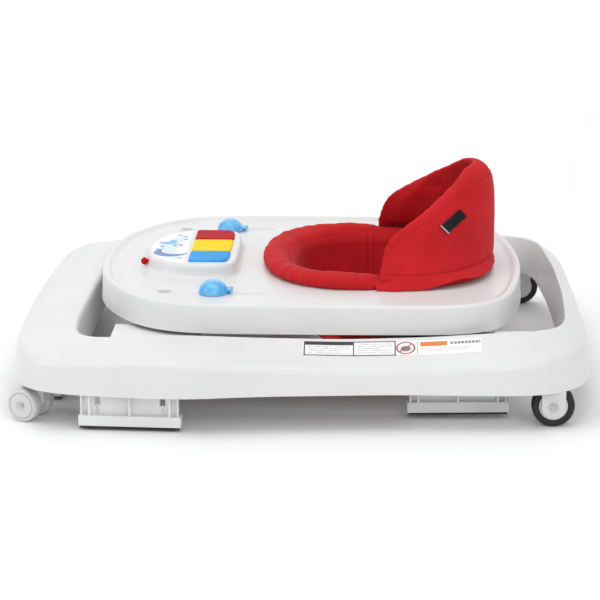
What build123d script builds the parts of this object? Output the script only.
from build123d import *
import math
import os

os.makedirs("parts", exist_ok=True)

# Baby walker, folded flat.  Millimetres.  +X is the walker's front, +Y its left, +Z up.
# The origin is on the floor under the middle of the whole thing.

# ---- base ring ----
RIM_Z = 45.0            # lower edge of the outer wall
CREASE_Z = 76.0         # where the wall turns into the sloping top
INNER_Z = 100.0         # upper edge of the round opening
INNER_LOW_Z = 58.0      # lower edge of the inner wall
WALL = 3.0              # plastic wall thickness
WALL_DRAFT = 6.0        # how far the outer wall leans in by the crease
INNER_DRAFT = 8.0       # how far the inner wall leans in at the rim level

# ---- wheels ----
REAR_WHEEL_X = -300.5
REAR_WHEEL_Y = 274.0
REAR_WHEEL_R = 25.4
REAR_HUB_R = 19.0
REAR_WHEEL_W = 16.0
REAR_AXLE_R = 3.0
CASTER_X = 308.0
CASTER_Y = 268.0
CASTER_R = 20.0
CASTER_WHEEL_W = 15.0
CASTER_GAP = 16.0       # space between the two wheels of a caster
CASTER_TRAIL = 14.0
CASTER_YAW = {"left": -23.0, "right": 0.0}
STEM_R = 5.0
RUNNING = 0.05          # radial clearance of every running fit

# ---- legs: two tube frames that cross like scissors ----
TUBE_R = 8.0
TUBE_WALL = 1.2
PIVOT_X = -255.0
PIVOT_LOW_Z = 81.0      # outer leg's pivot on the base
PIVOT_HIGH_Z = 117.0    # inner leg's pivot under the tray
LEG_LENGTH = 470.0
OUTER_LEG_Y = 198.0
INNER_LEG_Y = 172.0
PIN_R = 4.0
ROLLER_R = 7.0
SLIDE_END_X = 132.5     # where the leg ends stand when the tray is fully up

# ---- tray ----
TRAY_FLOOR_Z = 130.0
TRAY_RIM_Z = 134.0
SKIRT_Z = 99.0
TRAY_WALL = 3.0
SOCKET_X = 168.0
SOCKET_Y = 165.0
SOCKET_R = 8.0
SOCKET_DEPTH = 6.0
WHALE_X = 105.0
WHALE_Y = 165.0

# ---- music box ----
BOX_TOP_Z = 146.5
KEY_TOP_Z = 149.5
KEY_TRAVEL = 2.5

# ---- seat ----
PAD_LOW_Z = 130.3
PAD_TOP_Z = 144.0
BACK_TOP_Z = 266.0

# Half outlines, front centre to rear centre, on the left side.
RIM_HALF = [(356.5, 0), (356, 60), (353, 150), (347, 222), (336, 262), (318, 291), (290, 308),
            (250, 318), (200, 325), (130, 328), (63, 319), (-37, 310), (-110, 305), (-190, 305),
            (-250, 304), (-284, 299), (-314, 284), (-336, 258), (-348, 222), (-353.5, 180),
            (-356, 90), (-356.5, 0)]
INNER_HALF = [(273, 0), (273, 90), (272, 160), (267, 200), (256, 228), (238, 243), (210, 249),
              (150, 250), (75, 250), (0, 250), (-75, 250), (-150, 249), (-240, 247), (-282, 240),
              (-306, 224), (-318, 196), (-323, 150), (-327, 80), (-328, 0)]
TRAY_HALF = [(262, 0), (260, 45), (255, 85), (243, 128), (222, 170), (190, 210), (147, 233),
             (100, 240), (40, 241), (-30, 241), (-100, 240), (-160, 238), (-205, 230),
             (-238, 207), (-257, 168), (-269, 115), (-276, 60), (-279, 0)]
HOLE_HALF = [(15, 0), (13, 35), (3, 70), (-20, 98), (-55, 113), (-100, 118), (-145, 116),
             (-180, 104), (-205, 80), (-218, 45), (-222, 0)]
BOX_HALF = [(205, 0), (202, 30), (194, 55), (178, 78), (155, 91), (130, 96), (108, 95), (93, 86),
            (87, 66), (86, 35), (86, 0)]
PAD_OUT_HALF = [(56, 0), (53, 45), (40, 90), (10, 130), (-35, 152), (-85, 157), (-135, 154),
                (-185, 139), (-220, 108), (-238, 60), (-243, 0)]


def closed(half):
    """The whole loop from its left half."""
    return list(half) + [(x, -y) for x, y in reversed(half[1:-1])]


def grow(loop, amount):
    """The loop moved outward by amount along its own normals."""
    count = len(loop)
    moved = []
    for index in range(count):
        before = loop[index - 1]
        after = loop[(index + 1) % count]
        dx = after[0] - before[0]
        dy = after[1] - before[1]
        size = math.hypot(dx, dy)
        moved.append((loop[index][0] + amount * dy / size, loop[index][1] - amount * dx / size))
    return moved


def turned_outward(loop):
    """The loop listed so that grow() moves it away from its middle."""
    area = sum(loop[i - 1][0] * loop[i][1] - loop[i][0] * loop[i - 1][1] for i in range(len(loop)))
    return loop if area > 0 else list(reversed(loop))


RIM = turned_outward(closed(RIM_HALF))
INNER = turned_outward(closed(INNER_HALF))
TRAY = turned_outward(closed(TRAY_HALF))
HOLE = turned_outward(closed(HOLE_HALF))
MUSIC = turned_outward(closed(BOX_HALF))
PAD_OUT = turned_outward(closed(PAD_OUT_HALF))


def loop_face(loop, z):
    """A flat face inside a smooth closed curve through the points."""
    curve = Spline(*[(x, y, z) for x, y in loop], periodic=True)
    return Face(Wire([curve]))


def prism(loop, z0, z1, grow0=0.0, grow1=0.0):
    """A wall-sided solid between two levels, each level grown by its own amount."""
    if grow0 == grow1:
        return extrude(loop_face(grow(loop, grow0), z0), amount=z1 - z0, dir=(0, 0, 1))
    return loft([loop_face(grow(loop, grow0), z0), loop_face(grow(loop, grow1), z1)], ruled=True)


def block(x0, x1, y0, y1, z0, z1):
    """A box given by its limits."""
    middle = Pos((x0 + x1) / 2, (y0 + y1) / 2, (z0 + z1) / 2)
    return middle * Box(abs(x1 - x0), abs(y1 - y0), abs(z1 - z0))


def rod_z(x, y, z0, z1, radius):
    """An upright cylinder."""
    return Pos(x, y, (z0 + z1) / 2) * Cylinder(radius, z1 - z0)


def rod_y(x, z, y0, y1, radius):
    """A cylinder along Y."""
    return Pos(x, (y0 + y1) / 2, z) * Rot(90, 0, 0) * Cylinder(radius, abs(y1 - y0))


def mirrored(shape):
    """The same shape on the right side."""
    return mirror(shape, about=Plane.XZ)


def save(shape, node):
    """Write one node."""
    export_step(shape, "parts/" + node + ".step")


def save_pair(left, name):
    """Write the left piece and its mirror image."""
    save(left, name + "_left")
    save(mirrored(left), name + "_right")


# ---------------------------------------------------------------- base ring
def base_outer():
    """The base ring as a filled block: upright wall, then the sloping top."""
    wall = prism(RIM, RIM_Z, CREASE_Z, 0.0, -WALL_DRAFT)
    crease = loop_face(grow(RIM, -WALL_DRAFT), CREASE_Z)
    matched = [(x, y) for x, y in inner_matched()]
    top = loft([crease, loop_face(matched, INNER_Z)], ruled=True)
    return wall + top


def inner_matched():
    """The opening's edge, sampled so that each point lies opposite one on the rim."""
    loop = []
    count = len(INNER)
    for x, y in RIM:
        angle = math.atan2(y, x + 25.0)
        best = None
        for i in range(count):
            ax, ay = INNER[i - 1]
            bx, by = INNER[i]
            for step in range(12):
                t = step / 12.0
                px = ax + (bx - ax) * t
                py = ay + (by - ay) * t
                gap = abs(math.remainder(math.atan2(py, px + 25.0) - angle, 2 * math.pi))
                if best is None or gap < best[0]:
                    best = (gap, px, py)
        loop.append((best[1], best[2]))
    return loop


def base_cavity():
    """The hollow inside the ring, still crossing the opening."""
    wall = prism(RIM, RIM_Z - 1.0, CREASE_Z - 1.5, -WALL, -WALL_DRAFT - WALL)
    crease = loop_face(grow(RIM, -WALL_DRAFT - WALL), CREASE_Z - 1.5)
    top = loft([crease, loop_face(inner_matched(), INNER_Z - WALL)], ruled=True)
    return wall + top


def opening_column(extra):
    """The opening through the ring, grown by extra."""
    return prism(INNER, RIM_Z - 1.0, INNER_Z + 1.0, extra - INNER_DRAFT, extra)


SCREW_SPOTS = []


def base_shell(outer, opening):
    """The ring's shell with its bosses and caster sockets."""
    shell = outer - (base_cavity() - opening_column(WALL)) - opening
    shell = shell - prism(INNER, RIM_Z - 2.0, INNER_LOW_Z, WALL + 1.5, WALL + 1.5)
    for side in (1, -1):
        boss = rod_z(CASTER_X, side * CASTER_Y, RIM_Z + 1.0, INNER_Z, 9.0) & outer
        shell = shell + boss - rod_z(CASTER_X, side * CASTER_Y, RIM_Z - 1.0, 74.0, STEM_R + RUNNING)
        wheel_y = side * REAR_WHEEL_Y
        shell = shell - rod_y(REAR_WHEEL_X, REAR_WHEEL_R, wheel_y - 9.5, wheel_y + 9.5, REAR_WHEEL_R + 2.5)
        for x, y, z in SCREW_SPOTS:
            post = rod_z(x, side * y, z, INNER_Z, 5.0) & outer
            shell = shell + post - rod_z(x, side * y, z - 1.0, z + 9.0, 1.5)
    return shell


# ---------------------------------------------------------------- leg mounts on the base
def leg_bracket(opening):
    """The block on the inner wall that holds an outer leg's pivot pin."""
    body = block(-276, -234, 208, 262, 66, 96) & opening
    hollow = block(-270, -240, 214, 240, 60, 90)
    pin = rod_y(PIVOT_X, PIVOT_LOW_Z, 200, 214, PIN_R)
    return body - hollow - pin


def slot_y(x0, x1, z, y0, y1, radius):
    """A slot with round ends that runs along X and is cut along Y."""
    straight = block(x0, x1, y0, y1, z - radius, z + radius)
    return straight + rod_y(x0, z, y0, y1, radius) + rod_y(x1, z, y0, y1, radius)


def front_slide_x():
    """Where the leg ends stand when the walker is folded."""
    rise = PIVOT_HIGH_Z - PIVOT_LOW_Z
    return PIVOT_X + math.sqrt(LEG_LENGTH ** 2 - rise ** 2)


def leg_channel(opening):
    """The slotted rail on the inner wall in which an inner leg's roller runs."""
    end = front_slide_x()
    body = block(SLIDE_END_X - 14, end + 13, 184, 262, 68, 94) & opening
    slot = slot_y(SLIDE_END_X - 0.5, end + 0.5, PIVOT_LOW_Z, 180, 201, ROLLER_R + 0.1)
    hollow = block(SLIDE_END_X - 8, end + 7, 207, 238, 60, 88)
    return body - slot - hollow


def leg_pivot_pin():
    """The headed pin of an outer leg, held in the base's bracket."""
    return rod_y(PIVOT_X, PIVOT_LOW_Z, 187, 214, PIN_R) + rod_y(PIVOT_X, PIVOT_LOW_Z, 186.6, 189.6, 6.5)


# ---------------------------------------------------------------- rear wheels
def rear_fork():
    """The fork that holds a rear wheel under the base."""
    x = REAR_WHEEL_X
    y = REAR_WHEEL_Y
    half = REAR_WHEEL_W / 2 + 0.6
    ears = None
    for y0, y1 in ((y + half, y + half + 3.6), (y - half - 4.0, y - half)):
        ear = block(x - 14, x + 14, y0, y1, REAR_WHEEL_R, 66)
        ear = ear + rod_y(x, REAR_WHEEL_R, y0, y1, 14.0)
        ears = ear if ears is None else ears + ear
    bridge = block(x - 20, x + 20, y - half - 6.0, y + half + 3.6, 56, 68)
    bridge = bridge - block(x - 11, x + 11, y - 7, y + 7, 55, 62)
    bore = rod_y(x, REAR_WHEEL_R, y - 20, y + 20, REAR_AXLE_R)
    holes = rod_z(x - 15, y - 4, 50, 70, 2.0) + rod_z(x + 15, y - 4, 50, 70, 2.0)
    fork = ears + bridge - bore - holes
    low = block(x - 30, x + 30, y - 30, y + 30, 0, RIM_Z)
    return (fork & low) + (fork & base_cavity())


def rear_axle():
    """The steel axle pin of a rear wheel, headed outside."""
    x = REAR_WHEEL_X
    y = REAR_WHEEL_Y
    pin = rod_y(x, REAR_WHEEL_R, y - 14, y + 12.2, REAR_AXLE_R)
    return pin + rod_y(x, REAR_WHEEL_R, y + 12.2, y + 14.2, 5.0)


def rear_hub():
    """The hub disc of a rear wheel with its bore and a dished face."""
    x = REAR_WHEEL_X
    y = REAR_WHEEL_Y
    half = REAR_WHEEL_W / 2
    hub = rod_y(x, REAR_WHEEL_R, y - half, y + half, REAR_HUB_R)
    for side in (1, -1):
        dish = rod_y(x, REAR_WHEEL_R, y + side * half, y + side * (half - 3.5), 15.5)
        dish = dish - rod_y(x, REAR_WHEEL_R, y - half - 1, y + half + 1, 7.0)
        hub = hub - dish
    return hub - rod_y(x, REAR_WHEEL_R, y - half - 1, y + half + 1, REAR_AXLE_R + RUNNING)


def rear_tyre():
    """The tyre of a rear wheel."""
    x = REAR_WHEEL_X
    y = REAR_WHEEL_Y
    half = REAR_WHEEL_W / 2
    tyre = rod_y(x, REAR_WHEEL_R, y - half, y + half, REAR_WHEEL_R)
    tyre = fillet(tyre.edges(), 2.0)
    return tyre - rod_y(x, REAR_WHEEL_R, y - half - 1, y + half + 1, REAR_HUB_R)


# ---------------------------------------------------------------- casters, drawn with the trail along +X
def caster_housing():
    """The body between the two wheels, with its round top plate."""
    half = CASTER_GAP / 2 - 0.5
    x = CASTER_TRAIL
    body = rod_y(x, CASTER_R, -half, half, 16.0)
    body = body + block(-8, x + 6, -half, half, CASTER_R + 2, 40)
    body = body + rod_z(0, 0, 36, 43.5, 7.4) + rod_z(0, 0, 40.6, 43.5, 11.0)
    body = body - rod_y(x, CASTER_R, -half - 1, half + 1, 2.5)
    return body - rod_z(0, 0, 26, 50, STEM_R)


def caster_stem():
    """The upright steel pin that turns in the base's socket."""
    return rod_z(0, 0, 26, 73, STEM_R)


def caster_axle():
    """The axle through both wheels."""
    reach = CASTER_GAP / 2 + CASTER_WHEEL_W - 2.0
    return rod_y(CASTER_TRAIL, CASTER_R, -reach, reach, 2.5)


def caster_wheel(side):
    """One wheel; side is +1 for the left one of the pair."""
    y0 = side * CASTER_GAP / 2
    y1 = side * (CASTER_GAP / 2 + CASTER_WHEEL_W)
    low = min(y0, y1)
    high = max(y0, y1)
    wheel = rod_y(CASTER_TRAIL, CASTER_R, low, high, CASTER_R)
    wheel = fillet(wheel.edges(), 2.5)
    groove = rod_y(CASTER_TRAIL, CASTER_R, y1 - side * 1.2, y1 + side, 15.5)
    groove = groove - rod_y(CASTER_TRAIL, CASTER_R, y1 - side * 3, y1 + side * 3, 14.0)
    return wheel - groove - rod_y(CASTER_TRAIL, CASTER_R, low - 1, high + 1, 2.5 + RUNNING)


# ---------------------------------------------------------------- friction pads
# name: middle x, middle y of its screws, length, turn about Z in degrees, foot's offset across, height
# of its underside
PADS = {
    "front_left": (197.0, 306.0, 121.0, -3.0, 0.0, 3.0),
    "front_right": (197.0, -306.0, 121.0, 3.0, 0.0, 3.0),
    "rear_left": (-190.0, 260.0, 121.0, 3.0, -13.0, 5.0),
    "rear_right": (-190.0, -260.0, 121.0, -3.0, 13.0, 5.0),
    "front": (301.0, 0.0, 400.0, 90.0, 0.0, 3.0),
}
GRIP_THICK = 2.4
PAD_BAR = 13.2


def pad_place(pad):
    """The place of a pad."""
    return Pos(pad[0], pad[1], 0) * Rot(0, 0, pad[3])


def pad_top(pad):
    """Where a pad's flange meets the base: lower where the foot stands in from its screws."""
    return 60.0 if pad[4] == 0 else 56.0


def pad_carrier(pad):
    """The plastic foot: a bar along its bottom, a set-back web with ribs, and a flange on top."""
    half = pad[2] / 2
    across = pad[4]
    low = pad[5] + GRIP_THICK
    top = pad_top(pad)
    out = 1 if pad[1] >= 0 else -1
    bar = block(-half, half, across - 7.5, across + 7.5, low, low + PAD_BAR)
    bar = fillet(bar.edges().filter_by(Axis.X), 1.0)
    near, far = sorted((across - 2.0 * out, across + 0.5 * out))
    foot = bar + block(-half + 2.5, half - 2.5, near, far, low + PAD_BAR - 1, top)
    near, far = sorted((across - 2.0 * out, across + 6.5 * out))
    count = max(2, 2 * round(half / 48) // 2)
    for index in range(count + 1):
        x = -half + 13 + index * (2 * half - 26) / count
        foot = foot + block(x - 1.5, x + 1.5, near, far, low + PAD_BAR - 1, top)
    for x in (-half + 3.5, half - 3.5):
        foot = foot + block(x - 1.0, x + 1.0, near, far, low + PAD_BAR - 1, top)
    foot = foot + block(-half + 2.5, half - 2.5, min(across, 0) - 7, max(across, 0) + 7, top - 3, top)
    for x in (-half + 22, half - 22):
        foot = foot - rod_z(x, 0, 20, top + 1, 1.6) - rod_z(x, 0, top - 30, top - 8, 3.4)
    return pad_place(pad) * foot


def pad_grip(pad):
    """The rubber sole under the foot."""
    half = pad[2] / 2
    sole = block(-half + 1.5, half - 1.5, pad[4] - 7.0, pad[4] + 7.0, pad[5], pad[5] + GRIP_THICK)
    return pad_place(pad) * fillet(sole.edges().filter_by(Axis.X).sort_by(Axis.Z)[:2], 0.8)


def pad_screw_spots(pad):
    """Where the two screws of a pad stand."""
    x, y, length, turn = pad[:4]
    spots = []
    for along in (-length / 2 + 22, length / 2 - 22):
        angle = math.radians(turn)
        spots.append((x + along * math.cos(angle), y + along * math.sin(angle)))
    return spots


def screw(x, y, head_z, direction=1):
    """A small screw, head at head_z, shank upward."""
    return rod_z(x, y, head_z, head_z + 2.0, 3.2) + rod_z(x, y, head_z + 2.0, head_z + 13.0, 1.4)


# ---------------------------------------------------------------- legs
def bent_tube(points, radius, low_point, tilt):
    """A tube along a bent line drawn flat, then tilted about its pivot."""
    path = FilletPolyline(*[(u, v, 0) for u, v in points], radius=radius)
    start = Plane(origin=path @ 0, z_dir=path % 0)
    rod = sweep(start * Circle(TUBE_R), path=path)
    bore = sweep(start * Circle(TUBE_R - TUBE_WALL), path=path)
    return Pos(*low_point) * Rot(0, tilt, 0) * (rod - bore)


def leg_tilt():
    """The leg's slope when folded, in degrees."""
    return math.degrees(math.asin((PIVOT_HIGH_Z - PIVOT_LOW_Z) / LEG_LENGTH))


def crossing():
    """Where the two legs cross: x and z."""
    return (PIVOT_X + front_slide_x()) / 2, (PIVOT_LOW_Z + PIVOT_HIGH_Z) / 2


def outer_leg_tube():
    """The outer leg: hinged low at the rear, its crossbar slides under the tray's front."""
    y = OUTER_LEG_Y
    points = [(-12, -y), (350, -y), (470, -118), (470, 118), (350, y), (-12, y)]
    tube = bent_tube(points, 32.0, (PIVOT_X, 0, PIVOT_LOW_Z), -leg_tilt())
    x, z = crossing()
    tube = tube - rod_y(PIVOT_X, PIVOT_LOW_Z, -230, 230, PIN_R + RUNNING)
    return tube - rod_y(x, z, -230, 230, PIN_R)


def inner_leg_tube():
    """The inner leg: hinged high at the rear, its ends roll in the base's rails."""
    y = INNER_LEG_Y
    points = [(482, -y), (60, -y), (0, -120), (0, 120), (60, y), (482, y)]
    tube = bent_tube(points, 32.0, (PIVOT_X, 0, PIVOT_HIGH_Z), leg_tilt())
    x, z = crossing()
    tube = tube - rod_y(x, z, -230, 230, PIN_R + RUNNING)
    return tube - rod_y(front_slide_x(), PIVOT_LOW_Z, -230, 230, PIN_R)


def leg_cross_rivet():
    """The rivet that joins the legs where they cross, with a spacer between them."""
    x, z = crossing()
    rivet = rod_y(x, z, 161.5, 208.5, PIN_R)
    rivet = rivet + rod_y(x, z, 161, 163.7, 6.5) + rod_y(x, z, 206.3, 209, 6.5)
    return rivet + rod_y(x, z, 180.4, 189.6, 6.5)


def leg_roller():
    """The plastic roller on an inner leg's end."""
    x = front_slide_x()
    return rod_y(x, PIVOT_LOW_Z, 163, 186, PIN_R) + rod_y(x, PIVOT_LOW_Z, 184.5, 200, ROLLER_R)


# ---------------------------------------------------------------- tray
def tray_shell():
    """The tray: floor, raised rim, skirt, seat hole, toy sockets and pegs."""
    body = prism(TRAY, SKIRT_Z, TRAY_RIM_Z)
    body = body - prism(TRAY, SKIRT_Z - 1, TRAY_FLOOR_Z - TRAY_WALL, -TRAY_WALL, -TRAY_WALL)
    body = body - prism(TRAY, TRAY_FLOOR_Z, TRAY_RIM_Z + 1, -9.0, -9.0)
    body = body - prism(HOLE, SKIRT_Z, TRAY_RIM_Z + 1)
    body = body - block(99, 188, -72, 72, SKIRT_Z, TRAY_RIM_Z)
    for side in (1, -1):
        y = side * SOCKET_Y
        low = TRAY_FLOOR_Z - SOCKET_DEPTH
        body = body + rod_z(SOCKET_X, y, low - 2.0, TRAY_FLOOR_Z, SOCKET_R + 2.0)
        body = body - rod_z(SOCKET_X, y, low, TRAY_FLOOR_Z + 1, SOCKET_R)
        body = body + rod_z(WHALE_X, side * WHALE_Y, TRAY_FLOOR_Z - 1, 141.0, PIN_R)
        for x in (52, 66, 80):
            body = body + block(x - 5, x + 5, side * 167, side * 173, TRAY_FLOOR_Z - 1, TRAY_FLOOR_Z + 0.8)
    return body


def slot_bracket():
    """The slotted plate under the tray in which the outer leg's crossbar slides."""
    end = front_slide_x()
    plate = block(SLIDE_END_X - 14, end + 14, 80, 84, 105, TRAY_FLOOR_Z - TRAY_WALL)
    foot = block(SLIDE_END_X - 14, end + 14, 80, 92, 125.2, TRAY_FLOOR_Z - TRAY_WALL)
    return plate + foot - slot_y(SLIDE_END_X, end, PIVOT_HIGH_Z, 76, 88, TUBE_R + RUNNING)


def leg_clip():
    """The clip under the tray's rear that holds the inner leg's crossbar."""
    body = block(PIVOT_X - 12, PIVOT_X + 12, 55, 75, 105, TRAY_FLOOR_Z - TRAY_WALL)
    return body - rod_y(PIVOT_X, PIVOT_HIGH_Z, 50, 80, TUBE_R + RUNNING)


# ---------------------------------------------------------------- toys
KEYS = {"red": (-88.0, -36.0), "yellow": (-34.0, 34.0), "blue": (36.0, 88.0)}
KEY_X = (92.0, 147.0)


def key_shape(low_y, high_y, shrink, z0, z1):
    """A key's plan, kept inside the music box's own outline."""
    inside = prism(MUSIC, z0, z1, -5.0 - shrink, -5.0 - shrink)
    return inside & block(KEY_X[0] + shrink, KEY_X[1] - shrink, low_y + shrink, high_y - shrink, z0, z1)


def toy_box_housing():
    """The music box's hollow cover."""
    body = prism(MUSIC, TRAY_FLOOR_Z, BOX_TOP_Z, 3.0, 0.0)
    body = body - prism(MUSIC, TRAY_FLOOR_Z - 1, BOX_TOP_Z - 2.0, 1.0, -2.0)
    for low_y, high_y in KEYS.values():
        body = body - key_shape(low_y, high_y, 0.0, BOX_TOP_Z - 4, BOX_TOP_Z + 2)
    return body - button_core(2.7)


BUTTON_AT = (200.5, 43.0, 138.5)
BUTTON_TURN = 17.0


def button_core(radius, start=-12.0, end=8.0):
    """A cylinder along the red button's own axis."""
    place = Pos(*BUTTON_AT) * Rot(0, 0, BUTTON_TURN) * Rot(0, 90, 0)
    return place * Pos(0, 0, (start + end) / 2) * Cylinder(radius, end - start)


def red_button():
    """The small round button on the music box's front."""
    place = Pos(*BUTTON_AT) * Rot(0, 0, BUTTON_TURN) * Rot(0, 90, 0)
    head = place * Pos(0, 0, 4.6) * Sphere(4.0)
    head = head & (place * Pos(0, 0, 14.6) * Cylinder(10.0, 20.0))
    return head + button_core(2.6, -6.0, 5.0)


def toy_box_base():
    """The plate that closes the music box from below, flush in the tray."""
    plate = block(99.4, 187.6, -71.6, 71.6, TRAY_FLOOR_Z - TRAY_WALL, TRAY_FLOOR_Z - 1.0)
    return plate


def toy_key(low_y, high_y):
    """One key: a cap with a stem that reaches down to the board."""
    cap = key_shape(low_y, high_y, 0.5, BOX_TOP_Z - 2.5, KEY_TOP_Z)
    cap = chamfer(cap.faces().sort_by(Axis.Z)[-1].edges(), 1.0)
    middle = (low_y + high_y) / 2
    return cap + rod_z(120, middle, 137.4, BOX_TOP_Z - 2.0, 4.0)


def picture_panel():
    """The thin picture plate on the box's front half."""
    inside = prism(MUSIC, BOX_TOP_Z, BOX_TOP_Z + 0.8, -6.0, -6.0)
    return inside & block(150, 210, -90, 90, BOX_TOP_Z, BOX_TOP_Z + 0.8)


def circuit_board():
    """The music box's board under the keys."""
    return block(100, 145, -68, 68, 132.5, 134.1)


def speaker():
    """The small round speaker."""
    return rod_z(168, -52, 129.4, 137.0, 14.0) - rod_z(168, -52, 135.0, 138.0, 11.0)


def batteries():
    """Two small cells side by side."""
    cells = rod_y(158, 135.2, -22, 22, 5.2) + rod_y(158, 135.2, 22, 23, 1.9)
    return [cells, Pos(12, 0, 0) * cells]


def whale():
    """A whale-shaped knob that turns on the tray's peg."""
    body = Pos(WHALE_X + 3, WHALE_Y, 134.5) * scale(Sphere(10), by=(1.6, 1.6, 1.2))
    tail = Pos(WHALE_X - 14, WHALE_Y, 138) * scale(Sphere(5), by=(1.0, 1.5, 1.1))
    shape = (body + tail) & block(60, 150, 120, 210, TRAY_FLOOR_Z + 0.4, 160)
    return shape - rod_z(WHALE_X, WHALE_Y, 120, 142, PIN_R + RUNNING)


# ---------------------------------------------------------------- seat
def seat_rim_pad():
    """The padded ring that lies on the tray round the seat hole."""
    ring = prism(PAD_OUT, PAD_LOW_Z, PAD_TOP_Z)
    ring = ring - prism(HOLE, PAD_LOW_Z - 1, PAD_TOP_Z + 1, 3.0, 3.0)
    return ring


def oval(z, back_x, centre_x, front, half_width):
    """A closed oval face at height z: half ellipses behind and before centre_x."""
    points = []
    for index in range(24):
        angle = 2 * math.pi * index / 24
        reach = front if math.cos(angle) > 0 else centre_x - back_x
        points.append((centre_x + reach * math.cos(angle), half_width * math.sin(angle)))
    return loop_face(points, z)


def back_body(extra, low, high):
    """The padded back as a filled cup, grown by extra."""
    levels = ((low, 154.0, -243.0), (190.0, 122.0, -244.0), (230.0, 88.0, -243.0), (high, 54.0, -232.0))
    faces = [oval(z, back - extra, -118.0, 60.0 + extra, half + extra) for z, half, back in levels]
    return loft(faces)


def back_trim():
    """The room in front of the back's curved edge."""
    edge = [(-78, 140), (-92, 158), (-102, 175), (-118, 192), (-142, 214), (-170, 235),
            (-198, 253), (-216, 262), (-232, 267), (-232, 300), (140, 300), (140, 140)]
    profile = Face(Polyline(*[(x, -250, z) for x, z in edge], close=True))
    return extrude(profile, amount=500, dir=(0, 1, 0))


def seat_back_pad():
    """The high back that wraps round behind the child."""
    low = PAD_TOP_Z + 0.3
    solid = back_body(0.0, low, BACK_TOP_Z) - back_body(-13.0, low - 5, BACK_TOP_Z + 5)
    return solid - back_trim()


def strap_tab():
    """The black strap end on a wing of the back."""
    low = PAD_TOP_Z + 0.3
    skin = back_body(2.3, low, BACK_TOP_Z) - back_body(0.3, low - 5, BACK_TOP_Z + 5)
    cutter = Pos(-186, 95, 205) * Rot(0, 34, 0) * Box(31, 120, 15)
    return skin & cutter & block(-260, -60, 20, 200, 150, 262)


def seat_sling():
    """The cloth bag that hangs in the hole, with two leg holes."""
    top = PAD_LOW_Z - 0.3
    outer = loft([loop_face(grow(HOLE, -0.5), top), loop_face(grow(HOLE, -14), 75),
                  loop_face(grow(HOLE, -42), 20)])
    inner = loft([loop_face(grow(HOLE, -3.0), top + 1), loop_face(grow(HOLE, -16.5), 75),
                  loop_face(grow(HOLE, -45), 22.5)])
    bag = outer - inner
    for side in (1, -1):
        leg = Pos(-50, side * 45, 40) * Rot(side * 20, 30, 0) * Cylinder(30, 90)
        bag = bag - leg
    return bag


# ---------------------------------------------------------------- write everything
def solids(shapes):
    """Several separate solids as one node."""
    return Compound(children=[s for shape in shapes for s in shape.solids()])


def placed_caster(shape, side):
    """A caster piece at its place, turned by the caster's resting yaw."""
    sign = 1 if side == "left" else -1
    return Pos(CASTER_X, sign * CASTER_Y, 0) * Rot(0, 0, CASTER_YAW[side]) * shape


def build_base():
    """The base ring and everything fixed to it."""
    outer = base_outer()
    opening = opening_column(0.0)
    screws = []
    for name, pad in PADS.items():
        spots = pad_screw_spots(pad)
        for x, y in spots:
            screws.append(screw(x, y, pad_top(pad) - 10.0))
            if y >= 0:
                SCREW_SPOTS.append((x, abs(y), pad_top(pad)))
    for x in (REAR_WHEEL_X - 15, REAR_WHEEL_X + 15):
        SCREW_SPOTS.append((x, REAR_WHEEL_Y - 4, 68.0))
        screws.append(screw(x, REAR_WHEEL_Y - 4, 54.0))
        screws.append(screw(x, -REAR_WHEEL_Y + 4, 54.0))
    save(base_shell(outer, opening), "base_shell")
    save_pair(leg_bracket(opening), "leg_bracket")
    save_pair(leg_channel(opening), "leg_channel")
    save(solids([leg_pivot_pin(), mirrored(leg_pivot_pin())]), "leg_pivot_pins")
    save_pair(rear_fork(), "rear_fork")
    save(solids([rear_axle(), mirrored(rear_axle())]), "rear_axles")
    save_pair(rear_hub(), "rear_hub")
    save_pair(rear_tyre(), "rear_tyre")
    for name, pad in PADS.items():
        save(pad_carrier(pad), "pad_carrier_" + name)
        save(pad_grip(pad), "pad_grip_" + name)
    save(solids(screws), "base_screws")


def build_casters():
    """Both twin-wheel casters."""
    for side in ("left", "right"):
        save(placed_caster(caster_housing(), side), "caster_housing_" + side)
        save(placed_caster(caster_stem(), side), "caster_stem_" + side)
        save(placed_caster(caster_axle(), side), "caster_axle_" + side)
        sign = 1 if side == "left" else -1
        save(placed_caster(caster_wheel(sign), side), "caster_wheel_" + side + "_outer")
        save(placed_caster(caster_wheel(-sign), side), "caster_wheel_" + side + "_inner")


def build_legs():
    """The two crossing legs and their rivets and rollers."""
    save(outer_leg_tube(), "outer_leg_tube")
    save(inner_leg_tube(), "inner_leg_tube")
    save(solids([leg_cross_rivet(), mirrored(leg_cross_rivet())]), "leg_cross_rivets")
    save(solids([leg_roller(), mirrored(leg_roller())]), "leg_rollers")


def build_tray():
    """The tray, its brackets, the toys and the seat."""
    save(tray_shell(), "tray_shell")
    save_pair(slot_bracket(), "slot_bracket")
    save(solids([leg_clip(), mirrored(leg_clip())]), "leg_clips")
    save(toy_box_housing(), "toy_box_housing")
    save(toy_box_base(), "toy_box_base")
    for colour, (low_y, high_y) in KEYS.items():
        save(toy_key(low_y, high_y), "key_" + colour)
    save(picture_panel(), "picture_panel")
    save(red_button(), "red_button")
    save(circuit_board(), "circuit_board")
    save(speaker(), "speaker")
    save(solids(batteries()), "batteries")
    save_pair(whale(), "whale")
    save(seat_rim_pad(), "seat_rim_pad")
    save(seat_back_pad(), "seat_back_pad")
    save_pair(strap_tab(), "strap_tab")
    save(seat_sling(), "seat_sling")


build_base()
build_casters()
build_legs()
build_tray()
